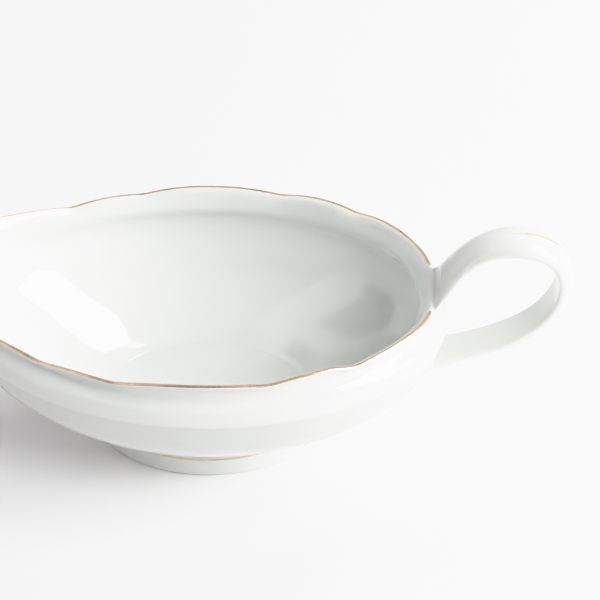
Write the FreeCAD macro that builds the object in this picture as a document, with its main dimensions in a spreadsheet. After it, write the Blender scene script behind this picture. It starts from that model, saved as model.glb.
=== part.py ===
import FreeCAD, Part
import Sketcher
import math
import os

# Sauce boat in glazed porcelain, millimetres.
# Frame: +Z up, X along the boat with the handle at +X and the pouring lip at
# -X, Y across. Origin: centre of the foot ring's underside, on the table.

V = FreeCAD.Vector
doc = FreeCAD.newDocument("sauce_boat")

# ------------------------------------------------------------------ sizes
# An inset is measured inwards from the foot's outline at the table.
CELLS = [
    ("rim_half_length", 75.3), ("rim_half_width", 51.0), ("rim_height", 61.0),
    ("rim_wave", 1.0), ("lip_reach", 22.0), ("lip_rise", 11.85),
    ("belly_half_length", 80.0), ("belly_half_width", 54.6), ("belly_height", 47.0),
    ("belly_lip_length", 82.3),
    ("neck_half_length", 73.0), ("neck_half_width", 49.5), ("neck_height", 54.4),
    ("ridge_half_length", 70.2), ("ridge_half_width", 47.3), ("ridge_height", 53.7),
    ("inside_half_length", 76.9), ("inside_half_width", 51.2),
    ("base_half_length", 38.0), ("base_half_width", 28.4), ("base_height", 8.0),
    ("well_half_length", 34.4), ("well_half_width", 25.7), ("well_height", 12.5),
    ("foot_half_length", 38.4), ("foot_half_width", 28.6), ("foot_top_inset", 0.55),
    ("foot_ring_height", 7.6), ("foot_wall", 4.4), ("foot_wall_top", 3.2),
    ("foot_edge_radius", 0.9),
    ("seam_inset", 0.5), ("seam_wall", 2.6),
    ("seam_outer_inset", "=foot_top_inset + seam_inset"),
    ("seam_inner_inset", "=seam_outer_inset + seam_wall"),
    ("handle_top_height", 78.6), ("handle_half_width", 7.6),
    ("handle_crown", 4.9), ("handle_edge", 2.0), ("handle_reach", 114.6),
    ("slip_gap", 0.4), ("slip_bead", 0.7),
    ("gild_gap", 11.6), ("gild_lift", 0.075), ("gild_skin", 0.1),
    ("foot_gild_width", 0.8), ("foot_gild_height", 6.65), ("foot_gild_lift", 0.03),
    ("gild_low_inner_inset",
     "=foot_top_inset * foot_gild_height / foot_ring_height - foot_gild_lift"),
    ("gild_high_inner_inset",
     "=foot_top_inset * (foot_gild_height + foot_gild_width) / foot_ring_height"
     " - foot_gild_lift"),
    ("gild_low_outer_inset", "=gild_low_inner_inset - gild_skin"),
    ("gild_high_outer_inset", "=gild_high_inner_inset - gild_skin"),
    ("stroke_half_width", 0.75),
]
sheet = doc.addObject("Spreadsheet::Sheet", "sizes")
for n, (alias, value) in enumerate(CELLS, start=1):
    sheet.set("A%d" % n, alias)
    sheet.set("B%d" % n, str(value))
    sheet.setAlias("B%d" % n, alias)
doc.recompute()
size = {alias: float(sheet.get(alias)) for alias, _ in CELLS}


# ----------------------------------------------------------------- curves
def ease(t):
    t = min(1.0, max(0.0, t))
    return t * t * (3.0 - 2.0 * t)


def through(table, x):
    """Straight-line look-up."""
    for (x1, y1), (x2, y2) in zip(table, table[1:]):
        if x <= x2:
            return y1 + (y2 - y1) * (x - x1) / (x2 - x1)
    return table[-1][1]


def slope(start, end):
    return (end[1] - start[1]) / (end[0] - start[0])


def smooth_through(table, x):
    """Catmull-Rom look-up, level at the last point."""
    last = len(table) - 2
    i = next((k for k in range(last) if x <= table[k + 1][0]), last)
    (x1, y1), (x2, y2) = table[i], table[i + 1]
    slope1 = slope(table[max(i - 1, 0)], table[i + 1])
    slope2 = 0.0 if i == last else slope(table[i], table[i + 2])
    width = x2 - x1
    t = (x - x1) / width
    return ((2 * t ** 3 - 3 * t * t + 1) * y1 + (t ** 3 - 2 * t * t + t) * width * slope1
            + (-2 * t ** 3 + 3 * t * t) * y2 + (t ** 3 - t * t) * width * slope2)


# -------------------------------------------------------------- rim's line
# Scallops: angle and height of the trough, angle and height of the crest.
# Angles are degrees round from the handle.
SCALLOPS = [
    (49.8, -1.2, 34.7, 0.2), (49.8, -1.2, 58.8, 0.55),
    (71.6, -1.33, 58.8, 0.55), (71.6, -1.33, 90.0, -0.05),
    (108.8, -2.19, 90.0, -0.05), (108.8, -2.19, 119.5, -1.2),
    (129.1, -2.22, 119.5, -1.2),
]
# Climb to the lip: share of the way from the last scallop, height.
LIP_CLIMB = [(0.0, -2.22), (0.08, -0.75), (0.19, 0.46), (0.41, 2.7), (0.60, 5.4),
             (0.78, 8.6), (0.90, 10.3), (1.0, 11.0)]
# How far the rim stands outside its ellipse: angle, per cent of radius squared.
RIM_SWELL = [(0, 0), (12, 1.1), (20, 2.4), (27, 2.6), (34, 3.0), (39, 3.15), (43.6, 3.2),
             (47, 2.9), (49.8, 2.45), (51.5, 1.8), (53, 0.85), (54.4, 0.17), (56, -0.07),
             (60, 0.0), (180, 0)]


def rim_wave(degrees):
    """Rim height above rim_height, before the lip's own rise is taken off."""
    if degrees < SCALLOPS[0][2]:
        return -1.0 + 1.2 * ease((degrees - 8.0) / 27.0)
    for trough, low, crest, high in SCALLOPS:
        if degrees < max(trough, crest):
            t = min(1.0, max(0.0, (degrees - trough) / (crest - trough)))
            return low + (high - low) * (1.0 - (1.0 - t) ** 2.6)
    climb_start = SCALLOPS[-1][0]
    return smooth_through(LIP_CLIMB, (degrees - climb_start) / (180.0 - climb_start))


# --------------------------------------------------------------- bowl wall
def bowl_curve(t, first_out, first_up, last_drop):
    """Shares of reach and rise on a cubic from (0, 0), upright at (1, 1)."""
    m = 1.0 - t
    return (3 * m * m * t * first_out + 3 * m * t * t + t ** 3,
            3 * m * m * t * first_up + 3 * m * t * t * (1 - last_drop) + t ** 3)


# A row of the wall: kind, half length at the handle end, half width, half length
# at the lip end, height at the handle, side and lip, share of the rim's wave,
# share of the rim's swell, share of the shoulder's swell.
def low_rows(bottom, belly, handle_curve, side_curve, table, grow):
    """Rows between bottom and belly, each given as half length, half width, height.

    Table columns: curve parameter, lip-end x and z, growth outwards and upwards.
    """
    rows = []
    length, width, height = bottom
    more_length, more_width, rise = [b - a for a, b in zip(bottom, belly)]
    for t, lip_x, lip_z, out, up in table:
        handle_reach, handle_rise = bowl_curve(t, *handle_curve)
        side_reach, side_rise = bowl_curve(t, *side_curve)
        out, up = grow * out, grow * up
        rows.append(("low", length + more_length * handle_reach + out,
                     width + more_width * side_reach + out, lip_x + out,
                     height + rise * handle_rise + up, height + rise * side_rise + up,
                     lip_z + up, 0, 0, 0))
    return rows


def wall_rows(grow):
    """Rows from the foot up the outside, over the rim and down the inside."""
    base_x, base_y, base_z = [size["base_" + k] for k in ("half_length", "half_width", "height")]
    belly_x, belly_y, belly_z = [size["belly_" + k] for k in ("half_length", "half_width", "height")]
    neck_x, neck_y, neck_z = [size["neck_" + k] for k in ("half_length", "half_width", "height")]
    rim_x, rim_y, rim_z = [size["rim_" + k] for k in ("half_length", "half_width", "height")]
    ridge_x, ridge_y, ridge_z = [size["ridge_" + k] for k in ("half_length", "half_width", "height")]
    well_x, well_y, well_z = [size["well_" + k] for k in ("half_length", "half_width", "height")]
    in_x, in_y = size["inside_half_length"], size["inside_half_width"]
    lip_x = rim_x + size["lip_reach"]

    outside = [
        (0, base_x, base_z, 1.0, 0.0), (.12, 43.9, 10.5, .70, -.71),
        (.26, 51.3, 14.6, .70, -.71), (.40, 59.4, 20.2, .70, -.71),
        (.54, 67.2, 26.6, .8, -.6), (.68, 73.9, 33.4, .8, -.6),
        (.82, 79.0, 40.3, .94, -.34), (.95, size["belly_lip_length"], belly_z - .1, 1.0, 0.0),
    ]
    # as a row, without the kind and with growth outwards and upwards at the end
    upper = [
        (belly_x + .25, belly_y + .25, 84.5, belly_z + 2.7, belly_z + 2.9, 52.2, 0, 0, 0, 1, 0),
        (belly_x - 1.3, belly_y - .9, 86.2, belly_z + 5.5, belly_z + 5.6, 56.0,
         .05, .05, .2, .9, .4),
        (neck_x + 2.2, neck_y + 1.9, 87.8, neck_z - 1.4, neck_z - 1.3, 59.2,
         .10, .15, .6, .6, .8),
        (neck_x, neck_y + .1, 89.5, neck_z - .1, neck_z + .1, 62.2, .22, .35, .8, 1, .2),
        (neck_x + .1, neck_y - .1, 91.6, neck_z + 1.8, neck_z + 2.0, 65.4, .5, .6, .6, 1, -.1),
        (rim_x - 1.3, rim_y - 1.2, 94.3, rim_z - 2.6, rim_z - 2.5, 68.8, .85, .9, .2, .9, -.4),
        (rim_x + .1, rim_y + .2, lip_x - .1, rim_z - 1.2, rim_z - 1.2, 71.2, 1, 1, 0, .8, -.6),
        (rim_x + .9, rim_y + .95, lip_x + 1.1, rim_z - .6, rim_z - .7, 72.3, 1, 1, 0, 1, 0),
        (rim_x + .1, rim_y + .3, lip_x + .4, rim_z + .1, rim_z + .1, 73.15, 1, 1, 0, .3, 1),
        (rim_x - 1.1, rim_y - 1.0, lip_x - 1.1, rim_z - .15, rim_z - .15, 72.95, 1, 1, 0, 0, 1),
        (rim_x - 2.7, rim_y - 2.5, lip_x - 3.3, rim_z - 1.8, rim_z - 1.8, 71.3,
         .95, .95, 0, 0, 0),
        (ridge_x + 1.3, ridge_y + .6, lip_x - 5.1, 57.0, 57.1, 69.6, .7, .75, .3, 0, 0),
        (ridge_x + .4, ridge_y + .2, lip_x - 7.3, 55.3, 55.4, 67.2, .42, .55, .7, 0, 0),
        (ridge_x, ridge_y, 87.6, ridge_z - .1, ridge_z, 64.6, .22, .35, .9, 0, 0),
        (ridge_x + 1.0, ridge_y + .6, 85.2, 52.1, 52.2, 60.8, .10, .15, .7, 0, 0),
        (in_x - 3.4, in_y - 2.2, 82.2, 50.2, 50.3, 55.4, .05, .05, .3, 0, 0),
        (in_x, in_y - .1, 79.0, belly_z - .1, belly_z - .1, 48.6, 0, 0, 0, 0, 0),
    ]
    inside = [
        (.88, 75.0, 41.0, 0, 0), (.74, 70.4, 35.4, 0, 0), (.60, 64.2, 29.6, 0, 0),
        (.45, 57.0, 24.0, 0, 0), (.30, 49.4, 18.9, 0, 0), (.14, 41.8, 14.9, 0, 0),
        (0, well_x, well_z, 0, 0),
    ]
    rows = low_rows((base_x, base_y, base_z), (belly_x, belly_y, belly_z),
                    (.128, .244, .591), (.241, .287, .568), outside, grow)
    for row in upper:
        out, up = grow * row[9], grow * row[10]
        rows.append(("up",) + tuple(v + out for v in row[:3])
                    + tuple(v + up for v in row[3:6]) + row[6:9])
    return rows + low_rows((well_x, well_y, well_z), (in_x, in_y, belly_z),
                           (.15, .17, .60), (.26, .20, .58), inside, grow)


def wall_section(rows, angle):
    """Control points of the wall's section at an angle round from the handle."""
    degrees = abs(math.degrees(math.atan2(math.sin(angle), math.cos(angle))))
    c, n = math.cos(angle), math.sin(angle)
    reach_share = ease((degrees - 120.0) / 60.0)
    rise_share = ease((degrees - 112.0) / 68.0)
    wave = rim_wave(degrees) * size["rim_wave"] - size["lip_rise"] * rise_share
    swell = through(RIM_SWELL, degrees) / 100.0
    shoulder = math.sin(2.0 * angle) ** 2
    points = []
    for (kind, length, width, lip_length, handle_z, side_z, lip_z,
         wave_share, swell_share, shoulder_share) in rows:
        if c >= 0:
            z = side_z + (handle_z - side_z) * c * c
        elif kind == "low":
            length += (lip_length - length) * c * c
            z = side_z + (lip_z - side_z) * c * c
        else:
            length += (lip_length - length) * reach_share
            z = side_z + (lip_z - side_z) * rise_share
        bulge = shoulder_share * shoulder
        scale = math.sqrt(1.0 + swell * swell_share) * (1.0 + 0.022 * bulge)
        points.append(V(length * c * scale, width * n * scale,
                        z + wave_share * wave + 0.8 * bulge))
    return points


# ------------------------------------------------------------ surface kit
def clamped(count):
    """Multiplicities and knots of an open cubic with count poles."""
    spans = count - 3
    return [4] + [1] * (spans - 1) + [4], [float(i) for i in range(spans + 1)]


def tube_surface(grid):
    """Cubic surface; grid[i][j] has i round the closed direction, j along the open one."""
    around = len(grid)
    mults, knots = clamped(len(grid[0]))
    surface = Part.BSplineSurface()
    surface.buildFromPolesMultsKnots(grid, [1] * (around + 1), mults,
                                     [float(i) for i in range(around + 1)], knots,
                                     True, False, 3, 3)
    return surface


def solid_from(faces):
    shell = Part.makeShell(faces)
    shell.sewShape()
    # sewing may wrap the shell in a compound
    solid = Part.makeSolid(shell if shell.ShapeType == "Shell" else shell.Shells[0])
    if solid.Volume < 0:
        solid.reverse()
    return solid


def capped(surface):
    """Solid tube with flat faces on both ends."""
    caps = [Part.Face(Part.Wire([surface.vIso(v).toShape()])) for v in surface.bounds()[2:]]
    return solid_from([surface.toShape()] + caps)


def flat_row(row):
    """Moves a closed row of points onto one plane."""
    middle = V(0, 0, 0)
    for point in row:
        middle = middle + point
    middle = middle * (1.0 / len(row))
    normal = V(0, 0, 0)
    for point, following in zip(row, row[1:] + row[:1]):
        normal = normal + (point - middle).cross(following - middle)
    normal.normalize()
    return [point - normal * (point - middle).dot(normal) for point in row]


def transpose(rows):
    return [list(column) for column in zip(*rows)]


def largest_first(shape):
    return sorted(shape.Solids, key=lambda solid: -solid.Volume)


def add_part(name, shape):
    part = doc.addObject("Part::Feature", name)
    part.Label = name
    part.Shape = shape
    return part


# ------------------------------------------------------------------- bowl
TURNS = 144  # sections round the bowl


def bowl_surface(grow):
    rows = wall_rows(grow)
    # the second pole sits at the handle, so parameter u = 0 is there
    return tube_surface([wall_section(rows, 2.0 * math.pi * (i - 1) / TURNS)
                         for i in range(TURNS)])


wall = bowl_surface(0.0)
bowl_solid = capped(wall)
grown_solid = capped(bowl_surface(size["slip_gap"]))
bowl = add_part("bowl", bowl_solid)

# ----------------------------------------------------------------- handle
# Stations round the loop from the rim to the belly: the inner face line (x, z),
# the crest's distance from it, the half width, the edge thickness, the way the
# thickness points (degrees, None for square to the path) and the sag that
# follows the wall's plan curve.
top = size["handle_top_height"]
far = size["handle_reach"]
STATIONS = [
    (71.3, 55.5, 4.7, 11.8, 2.0, 48, 1.6),
    (73.4, 56.3, 4.3, 11.5, 2.0, 60, 1.3),
    (75.7, 58.0, 3.8, 10.8, 2.0, 83, 0.8),
    (77.8, 60.4, 3.5, 9.8, 2.0, 111, 0.3),
    (79.6, 63.3, 3.8, 9.0, 2.0, None, 0.0),
    (81.7, 66.8, 4.1, 8.2, 2.0, None, 0.0),
    (84.5, 70.6, 4.3, 7.4, 2.0, None, 0.0),
    (88.2, 74.4, 4.5, 7.0, 2.0, None, 0.0),
    (92.2, 76.9, 4.7, 6.9, 2.0, None, 0.0),
    (96.2, top - 0.4, 4.8, 7.2, 2.0, None, 0.0),
    (100.4, top, 4.9, 7.6, 2.0, None, 0.0),
    (104.5, top - 0.3, 4.9, 7.6, 2.1, None, 0.0),
    (108.2, 77.1, 4.9, 7.4, 2.2, None, 0.0),
    (111.4, 74.7, 5.0, 7.3, 2.3, None, 0.0),
    (far - 1.1, 71.4, 5.1, 7.2, 2.4, None, 0.0),
    (far, 67.4, 5.1, 7.1, 2.4, None, 0.0),
    (far, 62.8, 5.1, 7.0, 2.3, None, 0.0),
    (113.4, 58.0, 5.0, 6.8, 2.2, None, 0.0),
    (111.2, 53.4, 4.8, 6.6, 2.1, None, 0.0),
    (108.0, 49.2, 4.7, 6.5, 2.0, None, 0.0),
    (103.8, 45.5, 4.6, 6.4, 2.0, None, 0.0),
    (98.6, 42.2, 4.5, 6.4, 2.0, None, 0.0),
    (92.6, 39.3, 4.4, 6.4, 2.0, None, 0.0),
    (86.6, 36.9, 4.3, 6.5, 2.0, None, 0.0),
    (80.8, 34.8, 4.4, 6.8, 2.0, None, 0.1),
    (76.2, 33.3, 5.6, 7.2, 2.3, 266, 0.4),
    (71.9, 32.3, 8.0, 7.6, 3.2, 219, 0.8),
]
# The table is drawn for a crown of 4.9, a half width of 7.6 and an edge of 2.0.
CROWN_SCALE = size["handle_crown"] / 4.9
WIDTH_SCALE = size["handle_half_width"] / 7.6
EDGE_SCALE = size["handle_edge"] / 2.0
# Half section from the inner face to the crest: share of the half width, share
# of the edge thickness, share of the crown above the edge.
EDGE_PROFILE = [
    (0.0, 0.0, 0.0), (.50, 0.0, 0.0), (.84, .01, 0.0), (1.0, .12, 0.0), (1.02, .62, 0.0),
    (.965, 1.04, 0.0), (.80, 1.0, .47), (.42, 1.0, .92), (0.0, 1.0, 1.02),
]


def strap_surface(bead):
    """The handle's strap, thickened all round by bead."""
    rows = []
    for i, (x, z, crest, width, edge, way, sag) in enumerate(STATIONS):
        if way is None:
            dx = STATIONS[i + 1][0] - STATIONS[i - 1][0]
            dz = STATIONS[i + 1][1] - STATIONS[i - 1][1]
            length = math.hypot(dx, dz)
            out_x, out_z = -dz / length, dx / length
        else:
            out_x, out_z = math.cos(math.radians(way)), math.sin(math.radians(way))
        x, z = x - out_x * bead, z - out_z * bead
        crest = crest * CROWN_SCALE + 2 * bead
        width = width * WIDTH_SCALE + bead
        edge = edge * EDGE_SCALE + bead
        half = [(across * width, edge * edge_share + (crest - edge) * crown_share)
                for across, edge_share, crown_share in EDGE_PROFILE]
        loop = half + [(-y, height) for y, height in half[-2:0:-1]]
        rows.append([V(x + out_x * height - sag * (y / width) ** 2, y, z + out_z * height)
                     for y, height in loop])
    rows[0] = flat_row(rows[0])
    rows[-1] = flat_row(rows[-1])
    return tube_surface(transpose(rows))


strap = strap_surface(0.0)
strap_solid = capped(strap)
bead_solid = capped(strap_surface(size["slip_bead"]))
handle = add_part("handle", largest_first(strap_solid.cut(grown_solid))[0])

# the joints fill the gap between the bowl and the handle's two ends
joints = largest_first(bead_solid.common(grown_solid).cut(bowl_solid))[:2]
joints.sort(key=lambda solid: -solid.CenterOfMass.z)
upper_joint = add_part("upper_slip_joint", joints[0])
lower_joint = add_part("lower_slip_joint", joints[1])


# --------------------------------------------------------------- gilding
def skin_band(surface, stations, way):
    """Thin band riding just clear of a surface.

    Each station lists the (u, v) across the band; way is the outward side's sign.
    Ruled strips run along the band, closed by two flat ends.
    """
    low = size["gild_lift"]
    high = low + size["gild_skin"]
    rows = []
    for cross in stations:
        over, under = [], []
        for u, v in cross:
            point, normal = surface.value(u, v), surface.normal(u, v)
            over.append(point + normal * (way * high))
            under.append(point + normal * (way * low))
        rows.append(over + under[::-1])
    rows[0] = flat_row(rows[0])
    rows[-1] = flat_row(rows[-1])
    mults, knots = clamped(len(rows))
    rails = transpose(rows)
    faces = []
    for rail, neighbour in zip(rails, rails[1:] + rails[:1]):
        strip = Part.BSplineSurface()
        strip.buildFromPolesMultsKnots([rail, neighbour], [2, 2], mults,
                                       [0.0, 1.0], knots, False, False, 1, 3)
        faces.append(strip.toShape())
    for row in (rows[0], rows[-1]):
        faces.append(Part.Face(Part.makePolygon(row + [row[0]])))
    return solid_from(faces)


def outward(surface, u, v, inside):
    """Sign that turns the surface's normal away from a point inside."""
    point, normal = surface.value(u, v), surface.normal(u, v)
    return 1.0 if (point + normal * 0.3 - inside).Length > (point - inside).Length else -1.0


def make_rim_gilding():
    """Band along the rim, open at the handle."""
    band_v = [14.4 + 0.40 * k for k in range(5)]  # either side of the rim's crest
    start = next(k * 0.02 for k in range(1, 400)
                 if wall.value(k * 0.02, band_v[2]).y > size["gild_gap"])
    count = 216
    rounds = [start + (TURNS - 2 * start) * k / (count - 1.0) for k in range(count)]
    way = outward(wall, 36.0, 4.0, V(0, 0, 30))
    return add_part("rim_gilding",
                    skin_band(wall, [[(u, v) for v in band_v] for u in rounds], way))


def make_handle_gilding():
    """Stroke down the crest of the handle, tapered at both ends."""
    crest_u = 7.0
    start_v, end_v = 9.1, 14.4
    steps = 45
    stroke = []
    for k in range(steps + 1):
        t = k / float(steps)
        v = start_v + (end_v - start_v) * t
        taper = min(ease(t / 0.22), ease((1.0 - t) / 0.35))
        half_width = size["stroke_half_width"] * (0.16 + 0.84 * taper)
        # parameter step across the crown for one millimetre
        chord = strap.value(crest_u + 0.25, v) - strap.value(crest_u - 0.25, v)
        per_mm = 0.5 / chord.Length
        stroke.append([(crest_u + half_width * per_mm * side, v) for side in (-1.0, 0.0, 1.0)])
    way = outward(strap, crest_u, 12.0, V(100, 0, 60))
    return add_part("handle_gilding", skin_band(strap, stroke, way))


# ------------------------------------------------------------------- foot
def new_body(name):
    body = doc.addObject("PartDesign::Body", name)
    body.Label = name
    return body


def oval_sketch(body, name, height, insets):
    """Level sketch of ovals, each inset from the foot's outline by an alias or None."""
    sketch = body.newObject("Sketcher::SketchObject", name)
    plane = [o for o in body.Origin.OriginFeatures if o.Role == "XY_Plane"][0]
    sketch.AttachmentSupport = (plane, [""])
    sketch.MapMode = "FlatFace"
    sketch.setExpression("AttachmentOffset.Base.z", height)
    for inset in insets:
        amount = size[inset] if inset else 0.0
        less = " - sizes." + inset if inset else ""
        half_length = size["foot_half_length"] - amount
        half_width = size["foot_half_width"] - amount
        oval = sketch.addGeometry(
            Part.Ellipse(V(half_length, 0, 0), V(0, half_width, 0), V(0, 0, 0)), False)
        axis = sketch.GeometryCount  # the long axis comes next, then the short one
        sketch.exposeInternalGeometry(oval)
        sketch.addConstraint(Sketcher.Constraint("Coincident", oval, 3, -1, 1))
        sketch.addConstraint(Sketcher.Constraint("Horizontal", axis))
        long_axis = sketch.addConstraint(
            Sketcher.Constraint("Distance", axis, 2 * half_length))
        short_axis = sketch.addConstraint(
            Sketcher.Constraint("Distance", axis + 1, 2 * half_width))
        sketch.setExpression("Constraints[%d]" % long_axis,
                             "(sizes.foot_half_length%s) * 2" % less)
        sketch.setExpression("Constraints[%d]" % short_axis,
                             "(sizes.foot_half_width%s) * 2" % less)
    sketch.Visibility = False
    return sketch


def tapered_ring(name, heights, outer, inner):
    """Ring lofted between two heights; outer and inner give the low and high insets."""
    body = new_body(name)
    for kind, part, insets in (("Additive", "outside", outer), ("Subtractive", "hollow", inner)):
        low, high = [oval_sketch(body, "%s_%s_%s" % (name, part, end), height, [inset])
                     for end, height, inset in zip(("low", "high"), heights, insets)]
        loft = body.newObject("PartDesign::%sLoft" % kind, "%s_%s" % (name, part))
        loft.Profile = low
        loft.Sections = [high]
        loft.Ruled = True
        doc.recompute()
    return body, loft


def make_foot_ring():
    body, hollow = tapered_ring("foot_ring", ("0", "sizes.foot_ring_height"),
                                (None, "foot_top_inset"), ("foot_wall_top", "foot_wall"))
    table_edges = ["Edge%d" % k for k, edge in enumerate(body.Shape.Edges, start=1)
                   if abs(edge.BoundBox.ZMax) < 1e-4]
    rounding = body.newObject("PartDesign::Fillet", "foot_rounding")
    rounding.Base = (hollow, table_edges)
    rounding.setExpression("Radius", "sizes.foot_edge_radius")
    doc.recompute()
    return body


def make_foot_slip_joint():
    """Upright band between the foot ring and the bowl's base."""
    body = new_body("foot_slip_joint")
    pad = body.newObject
    sketch = oval_sketch(body, "foot_slip_joint_outline", "sizes.foot_ring_height",
                         ["seam_outer_inset", "seam_inner_inset"])
    pad = body.newObject("PartDesign::Pad", "foot_slip_joint_pad")
    pad.Profile = sketch
    pad.setExpression("Length", "sizes.base_height - sizes.foot_ring_height")
    doc.recompute()
    return body


def make_foot_gilding():
    """Thin band that follows the slight taper of the foot."""
    return tapered_ring("foot_gilding",
                        ("sizes.foot_gild_height",
                         "sizes.foot_gild_height + sizes.foot_gild_width"),
                        ("gild_low_outer_inset", "gild_high_outer_inset"),
                        ("gild_low_inner_inset", "gild_high_inner_inset"))[0]


parts = [bowl, handle, upper_joint, lower_joint, make_rim_gilding(), make_handle_gilding(),
         make_foot_ring(), make_foot_slip_joint(), make_foot_gilding()]

# ------------------------------------------------------------- check, write
for item in doc.Objects:
    if "Invalid" in item.State or "Error" in item.State:
        raise RuntimeError("%s: %s" % (item.Name, item.State))
for part in parts:
    shape = part.Shape
    if shape.isNull() or not shape.isValid() or len(shape.Solids) != 1:
        raise RuntimeError("%s: bad shape, %d solids" % (part.Label, len(shape.Solids)))
os.makedirs("parts", exist_ok=True)
for part in parts:
    part.Shape.exportStep("parts/%s.step" % part.Label)
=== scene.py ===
"""A porcelain sauce boat with fired gold lines, on a white paper floor.

It stands on z = 0 with its middle on the z axis. The handle is at +x, the pouring lip
at -x, and the camera looks from -y. Shapes are worked out in millimetres and scaled to
metres when a mesh is made. The stage is in metres.
"""
import math
import bpy
import bmesh
import numpy as np
from mathutils import Vector, Matrix
from mathutils.bvhtree import BVHTree


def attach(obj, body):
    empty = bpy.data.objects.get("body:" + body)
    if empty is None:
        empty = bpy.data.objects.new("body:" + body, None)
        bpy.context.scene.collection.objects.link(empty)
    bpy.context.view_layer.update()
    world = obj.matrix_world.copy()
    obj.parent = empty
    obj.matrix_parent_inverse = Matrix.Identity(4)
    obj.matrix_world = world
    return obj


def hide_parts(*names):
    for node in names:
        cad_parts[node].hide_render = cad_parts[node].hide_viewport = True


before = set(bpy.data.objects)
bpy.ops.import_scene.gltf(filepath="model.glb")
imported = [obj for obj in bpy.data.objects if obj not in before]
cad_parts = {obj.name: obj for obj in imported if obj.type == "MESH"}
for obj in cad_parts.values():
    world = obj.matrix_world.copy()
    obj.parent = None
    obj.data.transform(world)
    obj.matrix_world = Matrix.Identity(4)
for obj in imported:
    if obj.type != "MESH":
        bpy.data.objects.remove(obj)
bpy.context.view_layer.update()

MM = 0.001

# =====================================================================
# Sizes of the porcelain: X half length, Y half width, Z height
# =====================================================================
RIM_X, RIM_Y, RIM_Z = 75.3, 51.0, 61.0
LIP_REACH = 22.0         # how much further the rim reaches at the lip
LIP_RISE = 11.85         # how much higher the rim stands at the lip
BELLY_X, BELLY_Y, BELLY_Z = 80.0, 54.6, 47.0
BELLY_LIP_X = 82.3       # belly's half length on the lip side
NECK_X, NECK_Y, NECK_Z = 73.0, 49.5, 54.4
RIDGE_X, RIDGE_Y, RIDGE_Z = 70.2, 47.3, 53.7      # inner face, level with the neck
INSIDE_X, INSIDE_Y = 76.9, 51.2                   # inner face, level with the belly
BASE_X, BASE_Y, BASE_Z = 38.0, 28.4, 8.0
WELL_X, WELL_Y, WELL_Z = 34.4, 25.7, 12.5         # edge of the inside floor
FOOT_X, FOOT_Y = 38.4, 28.6
FOOT_RING_HEIGHT = 7.6
FOOT_TOP_INSET = 0.55    # how far the foot draws in over its height
GILD_GAP = 11.6          # half width of the gap in the rim gilding at the handle


# =====================================================================
# Curves and surfaces
# =====================================================================
def ease(t):
    t = min(1.0, max(0.0, t))
    return t * t * (3.0 - 2.0 * t)


def through(table, x):
    """Straight lines through (x, value) rows."""
    for (x1, value1), (x2, value2) in zip(table, table[1:]):
        if x <= x2:
            return value1 + (value2 - value1) * (x - x1) / (x2 - x1)
    return table[-1][1]


def smooth_through(table, x):
    """Cubic curve through (x, value) rows, level at the last."""
    last = len(table) - 2
    i = next((k for k in range(last) if x <= table[k + 1][0]), last)
    x1, y1 = table[i]
    x2, y2 = table[i + 1]
    before = table[max(i - 1, 0)]
    slope1 = (y2 - before[1]) / (x2 - before[0])
    slope2 = 0.0
    if i < last:
        slope2 = (table[i + 2][1] - y1) / (table[i + 2][0] - x1)
    width = x2 - x1
    t = (x - x1) / width
    return ((2 * t ** 3 - 3 * t * t + 1) * y1 + (t ** 3 - 2 * t * t + t) * width * slope1
            + (-2 * t ** 3 + 3 * t * t) * y2 + (t ** 3 - t * t) * width * slope2)


def bezier(start, middle, end, t):
    return (1 - t) ** 2 * start + 2 * t * (1 - t) * middle + t * t * end


def clamped_basis(count, vs):
    """Matrix (len(vs), count) of the clamped uniform cubic basis, v from 0 to count - 3."""
    spans = count - 3
    knots = np.concatenate([[0.0] * 3, np.arange(spans + 1), [float(spans)] * 3])
    vs = np.clip(np.asarray(vs, float), 0, spans - 1e-9)
    basis = np.zeros((len(vs), count))
    for row, v in enumerate(vs):
        i = 3 + int(v)
        weights = [1.0]
        for j in range(1, 4):
            raised = [0.0] * (j + 1)
            for k in range(j):
                low, high = knots[i + 1 - j + k], knots[i + 1 + k]
                t = weights[k] / (high - low) if high > low else 0.0
                raised[k] += (high - v) * t
                raised[k + 1] += (v - low) * t
            weights = raised
        basis[row, i - 3:i + 1] = weights
    return basis


def periodic_basis(count, us):
    """Matrix (len(us), count) of the closed cubic basis; u = k is centred on pole k."""
    us = np.asarray(us, float) % count
    basis = np.zeros((len(us), count))
    for row, u in enumerate(us):
        i = int(math.floor(u))
        t = u - i
        weights = ((1 - t) ** 3 / 6, (3 * t ** 3 - 6 * t * t + 4) / 6,
                   (-3 * t ** 3 + 3 * t * t + 3 * t + 1) / 6, t ** 3 / 6)
        for k, weight in enumerate(weights):
            basis[row, (i - 1 + k) % count] += weight
    return basis


class Surface:
    """Cubic surface over poles (u, v, xyz), closed in u and clamped in v."""

    def __init__(self, poles):
        self.poles = np.array(poles)
        self.loop = self.poles.shape[0]        # u of one full turn
        self.end = self.poles.shape[1] - 3     # last v

    def both(self, us, vs):
        columns = np.tensordot(periodic_basis(self.loop, us), self.poles, axes=(1, 0))
        return columns, clamped_basis(self.poles.shape[1], vs)

    def grid(self, us, vs):
        """Points at every u and every v."""
        columns, basis = self.both(us, vs)
        return np.tensordot(basis, columns, axes=(1, 1)).transpose(1, 0, 2)

    def pairs(self, us, vs):
        """Points at paired u and v."""
        columns, basis = self.both(us, vs)
        return np.einsum("njk,nj->nk", columns, basis)

    def point(self, u, v):
        return self.grid([u], [v])[0, 0]

    def normals(self, sample, us, vs, step=0.02):
        """Outward unit normals where sample, either grid or pairs, puts its points."""
        us, vs = np.asarray(us, float), np.asarray(vs, float)
        along_u = sample(us + step, vs) - sample(us - step, vs)
        along_v = sample(us, vs + step) - sample(us, vs - step)
        normal = np.cross(along_u, along_v)
        return normal / np.linalg.norm(normal, axis=-1, keepdims=True)


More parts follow.
